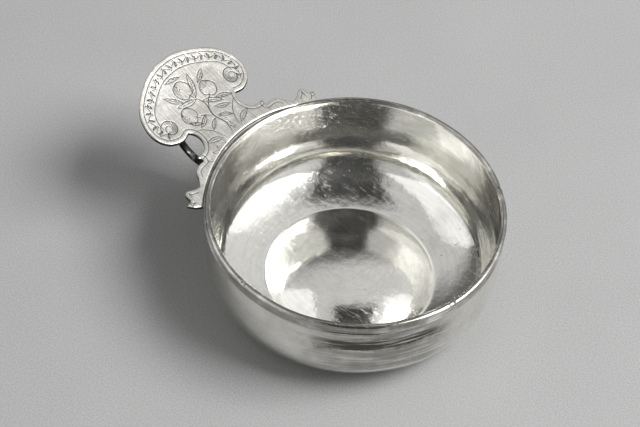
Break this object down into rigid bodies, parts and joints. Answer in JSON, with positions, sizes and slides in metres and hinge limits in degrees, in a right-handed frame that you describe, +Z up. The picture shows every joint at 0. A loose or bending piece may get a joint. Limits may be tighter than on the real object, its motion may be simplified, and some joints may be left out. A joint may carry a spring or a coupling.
{
  "type": "silver cider taster",
  "caption": "Shallow round silver tasting bowl with a domed base, a flat cut thumb plate at the rim and a finger ring below it.",
  "frame": {"origin": "middle of the footprint, on the surface that the bowl stands on", "axes": "+Z up out of the bowl's mouth, +X from the bowl towards the thumb plate, +Y across the plate"},
  "size_m": [0.1208, 0.09, 0.0446],
  "materials": {
    "polished_silver": "polished silver with fine scratches and soft wear",
    "satin_silver": "satin silver, engraved",
    "silver_solder": "dull silver solder"
  },
  "bodies": {
    "root": {"bowl": "polished_silver", "rim_wire": "polished_silver", "thumb_plate": "satin_silver", "finger_ring": "polished_silver", "plate_solder": "silver_solder", "ring_top_solder": "silver_solder", "ring_side_solder": "silver_solder"}
  },
  "joints": []
}
